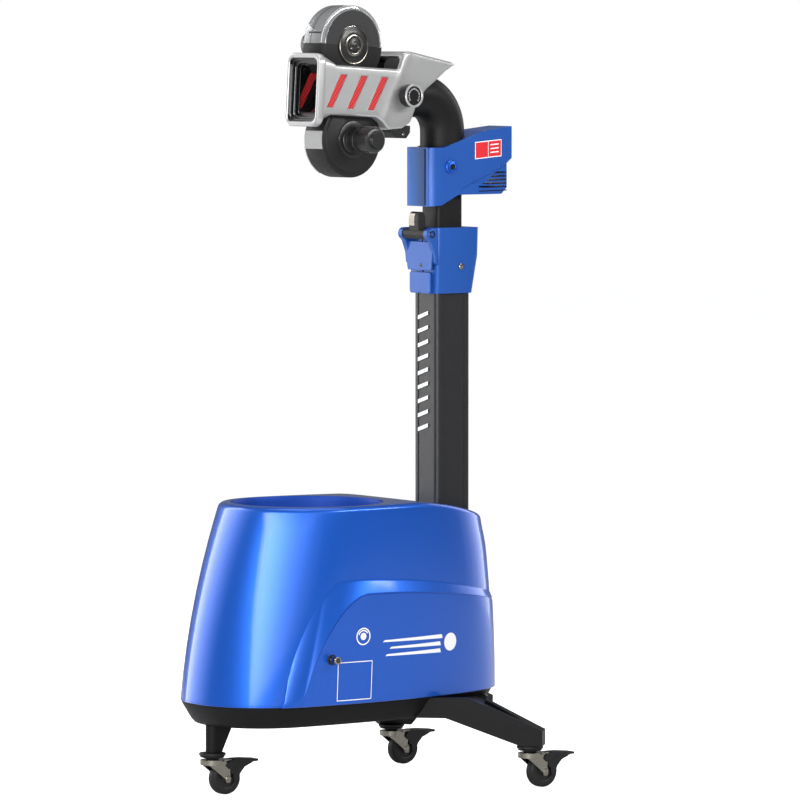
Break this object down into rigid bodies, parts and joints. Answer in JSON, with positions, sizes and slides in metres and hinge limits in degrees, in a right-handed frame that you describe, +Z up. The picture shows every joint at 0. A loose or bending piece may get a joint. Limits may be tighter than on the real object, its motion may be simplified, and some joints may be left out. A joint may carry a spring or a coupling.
{
  "type": "table tennis robot",
  "caption": "Table tennis robot on casters: blue hopper that lifts balls through a telescopic mast to a swinging, tilting head whose powered wheels throw them.",
  "frame": {"origin": "centre of the bounding box at floor level", "axes": "+X is the throwing direction, +Y the robot's left, +Z up from the floor"},
  "size_m": [0.571, 0.4462, 1.2139],
  "materials": {
    "blue_gloss": "gloss blue",
    "blue_satin": "satin blue paint",
    "black_satin": "satin black",
    "black_matt": "matt black",
    "black_gloss": "gloss black",
    "anodised": "dark anodised",
    "silver": "brushed silver",
    "nickel": "bright nickel",
    "smoke": "smoked",
    "red_film": "red",
    "rubber": "black",
    "motor_metal": "bare metal",
    "white_plastic": "white"
  },
  "bodies": {
    "base": {"hopper_tub": "blue_gloss", "left_side_cover": "blue_gloss", "right_side_cover": "blue_gloss", "side_knob_base": "black_satin", "base_tray": "black_satin", "front_leg": "black_satin", "rear_left_arm": "black_satin", "rear_right_arm": "black_satin", "front_caster_cap": "black_gloss", "rear_left_caster_cap": "black_gloss", "rear_right_caster_cap": "black_gloss", "hopper_bowl": "blue_gloss", "feed_motor": "motor_metal", "feed_tube": "smoke", "control_unit": "anodised", "mast_foot": "anodised", "lower_mast": "black_satin", "mast_bush": "black_matt", "clamp_collar": "blue_satin", "clamp_pin": "nickel"},
    "clamp_lever": {"clamp_lever": "black_gloss"},
    "side_knob": {"side_knob": "black_gloss"},
    "pickup_wheel": {"pickup_wheel": "white_plastic"},
    "mast_top": {"upper_mast": "anodised", "swing_bracket": "blue_satin", "swing_cover": "blue_satin", "swing_hub": "black_matt", "swing_motor": "motor_metal"},
    "elbow": {"elbow_pipe": "black_satin", "head_neck": "black_matt"},
    "head": {"head_shell_left": "silver", "head_shell_right": "silver", "left_slot_insert": "red_film", "right_slot_insert": "red_film", "mouth_frame": "silver", "mouth_liner": "black_gloss", "upper_wheel_cover": "smoke", "upper_wheel_housing": "black_satin", "lower_wheel_housing": "black_satin", "upper_wheel_motor": "anodised", "lower_wheel_motor": "anodised", "ball_channel": "black_matt", "rear_under_cover": "black_satin", "tilt_pivot": "nickel"},
    "tilt_knob": {"tilt_knob": "silver"},
    "upper_throw_wheel": {"upper_throw_wheel": "rubber"},
    "lower_throw_wheel": {"lower_throw_wheel": "rubber"},
    "front_fork": {"front_caster_fork": "nickel", "front_caster_axle": "nickel"},
    "front_wheel": {"front_caster_wheel": "rubber"},
    "front_pedal": {"front_caster_pedal": "black_satin"},
    "rear_left_fork": {"rear_left_caster_fork": "nickel", "rear_left_caster_axle": "nickel"},
    "rear_left_wheel": {"rear_left_caster_wheel": "rubber"},
    "rear_left_pedal": {"rear_left_caster_pedal": "black_satin"},
    "rear_right_fork": {"rear_right_caster_fork": "nickel", "rear_right_caster_axle": "nickel"},
    "rear_right_wheel": {"rear_right_caster_wheel": "rubber"},
    "rear_right_pedal": {"rear_right_caster_pedal": "black_satin"}
  },
  "joints": [
    {"name": "mast_slide", "type": "slide", "parent": "base", "child": "mast_top", "axis": [0, 0, 1], "range_m": [0, 0.2]},
    {"name": "clamp_lever_turn", "type": "hinge", "parent": "base", "child": "clamp_lever", "pos_m": [-0.1265, 0, 0.857], "axis": [0, 1, 0], "range_deg": [0, 95]},
    {"name": "side_knob_turn", "type": "hinge", "parent": "base", "child": "side_knob", "pos_m": [0.1245, 0.14, 0.213], "axis": [0, 1, 0], "range_deg": [0, 90]},
    {"name": "pickup_wheel_spin", "type": "hinge", "parent": "base", "child": "pickup_wheel", "pos_m": [0.0805, 0, 0.205], "axis": [0, 0, 1], "continuous": true},
    {"name": "head_swing", "type": "hinge", "parent": "mast_top", "child": "elbow", "pos_m": [-0.1735, 0, 1], "axis": [0, 0, 1], "range_deg": [-47, 32]},
    {"name": "head_tilt", "type": "hinge", "parent": "elbow", "child": "head", "pos_m": [-0.06439, 0.01398, 1.074], "axis": [-0.1271, 0.9919, 0], "range_deg": [-7, 22]},
    {"name": "tilt_knob_turn", "type": "hinge", "parent": "head", "child": "tilt_knob", "pos_m": [-0.07074, 0.06357, 1.074], "axis": [-0.1271, 0.9919, 0], "continuous": true},
    {"name": "upper_wheel_spin", "type": "hinge", "parent": "head", "child": "upper_throw_wheel", "pos_m": [0.03022, 0.0261, 1.15247], "axis": [-0.1271, 0.9919, 0], "continuous": true},
    {"name": "lower_wheel_spin", "type": "hinge", "parent": "head", "child": "lower_throw_wheel", "pos_m": [0.03108, 0.02621, 1.00725], "axis": [-0.1271, 0.9919, 0], "continuous": true},
    {"name": "front_swivel", "type": "hinge", "parent": "base", "child": "front_fork", "pos_m": [0.2545, 0, 0.058], "axis": [0, 0, 1], "continuous": true},
    {"name": "front_roll", "type": "hinge", "parent": "front_fork", "child": "front_wheel", "pos_m": [0.2328, 0, 0.025], "axis": [0, 1, 0], "continuous": true},
    {"name": "front_brake", "type": "hinge", "parent": "front_fork", "child": "front_pedal", "pos_m": [0.2315, 0, 0.045], "axis": [0, -1, 0], "range_deg": [0, 8]},
    {"name": "rear_left_swivel", "type": "hinge", "parent": "base", "child": "rear_left_fork", "pos_m": [-0.2075, 0.193, 0.058], "axis": [0, 0, 1], "continuous": true},
    {"name": "rear_left_roll", "type": "hinge", "parent": "rear_left_fork", "child": "rear_left_wheel", "pos_m": [-0.2292, 0.193, 0.025], "axis": [0, 1, 0], "continuous": true},
    {"name": "rear_left_brake", "type": "hinge", "parent": "rear_left_fork", "child": "rear_left_pedal", "pos_m": [-0.2305, 0.193, 0.045], "axis": [0, -1, 0], "range_deg": [0, 8]},
    {"name": "rear_right_swivel", "type": "hinge", "parent": "base", "child": "rear_right_fork", "pos_m": [-0.2075, -0.193, 0.058], "axis": [0, 0, 1], "continuous": true},
    {"name": "rear_right_roll", "type": "hinge", "parent": "rear_right_fork", "child": "rear_right_wheel", "pos_m": [-0.2292, -0.193, 0.025], "axis": [0, 1, 0], "continuous": true},
    {"name": "rear_right_brake", "type": "hinge", "parent": "rear_right_fork", "child": "rear_right_pedal", "pos_m": [-0.2305, -0.193, 0.045], "axis": [0, -1, 0], "range_deg": [0, 8]}
  ]
}
